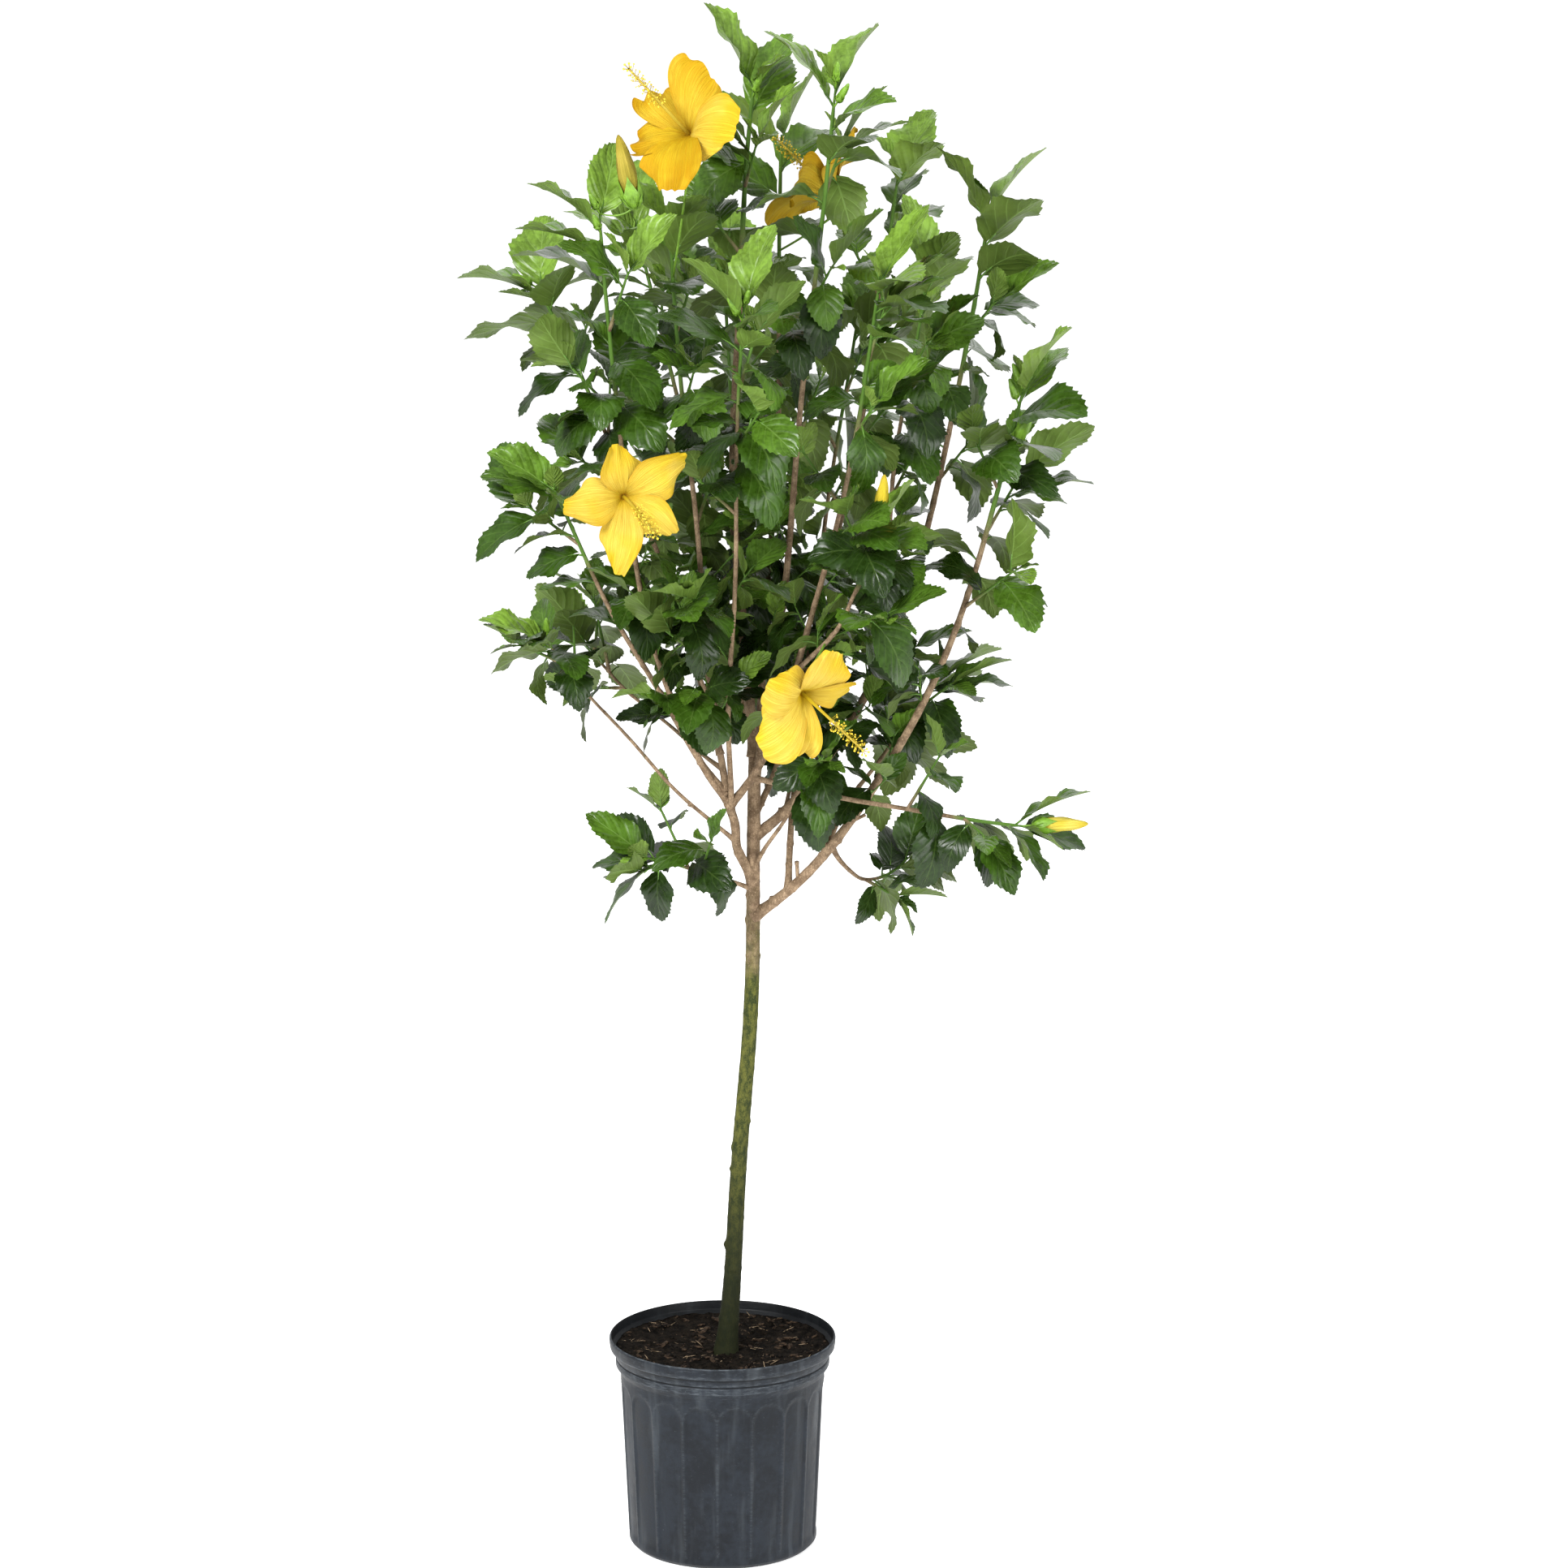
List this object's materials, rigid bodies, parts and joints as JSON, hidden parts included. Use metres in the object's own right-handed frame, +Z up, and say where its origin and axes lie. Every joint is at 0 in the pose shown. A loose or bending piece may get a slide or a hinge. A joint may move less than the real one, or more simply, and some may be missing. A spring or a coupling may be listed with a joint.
{
  "type": "hibiscus standard tree in a nursery pot",
  "caption": "Yellow-flowered hibiscus trained as a small standard tree: one bare trunk, a tall open crown of leafy stems with blooms, in a round plastic pot.",
  "frame": {"origin": "middle of the pot's flat underside", "axes": "+Z up along the trunk; the front, which shows the open blooms, faces -Y; +X is the front's right"},
  "size_m": [0.6887, 0.6205, 1.7247],
  "materials": {
    "pot_plastic": "satin charcoal plastic",
    "potting_soil": "rough dark potting mix with bark",
    "trunk_bark": "rough bark with green algae",
    "bough_bark": "rough brown bark",
    "leaves": "glossy green leaves"
  },
  "bodies": {
    "root": {"bough_back": "bough_bark", "bough_back_left": "bough_bark", "bough_back_right": "bough_bark", "bough_centre": "bough_bark", "bough_centre_back": "bough_bark", "bough_centre_front": "bough_bark", "bough_centre_left": "bough_bark", "bough_front": "bough_bark", "bough_front_right": "bough_bark", "bough_inner_front": "bough_bark", "bough_inner_right": "bough_bark", "bough_left_fork": "bough_bark", "bough_left_front": "bough_bark", "bough_left_low": "bough_bark", "bough_left_outer": "bough_bark", "bough_low_back": "bough_bark", "bough_low_front": "bough_bark", "bough_low_left_back": "bough_bark", "bough_low_left_long": "bough_bark", "bough_low_left_small": "bough_bark", "bough_low_right_back": "bough_bark", "bough_low_right_front": "bough_bark", "bough_low_right_middle": "bough_bark", "bough_right_back": "bough_bark", "bough_right_inner": "bough_bark", "bough_right_outer": "bough_bark", "bough_right_upper": "bough_bark", "foliage_back": "leaves", "foliage_back_left": "leaves", "foliage_back_right": "leaves", "foliage_centre": "leaves", "foliage_centre_back": "leaves", "foliage_centre_front": "leaves", "foliage_centre_left": "leaves", "foliage_front": "leaves", "foliage_front_right": "leaves", "foliage_inner_front": "leaves", "foliage_inner_right": "leaves", "foliage_left_front": "leaves", "foliage_left_low": "leaves", "foliage_left_outer": "leaves", "foliage_low_back": "leaves", "foliage_low_front": "leaves", "foliage_low_left_back": "leaves", "foliage_low_left_long": "leaves", "foliage_low_left_small": "leaves", "foliage_low_right_back": "leaves", "foliage_low_right_front": "leaves", "foliage_low_right_middle": "leaves", "foliage_right_back": "leaves", "foliage_right_inner": "leaves", "foliage_right_outer": "leaves", "foliage_right_upper": "leaves", "pot": "pot_plastic", "potting_soil": "potting_soil", "trunk": "trunk_bark"}
  },
  "joints": []
}
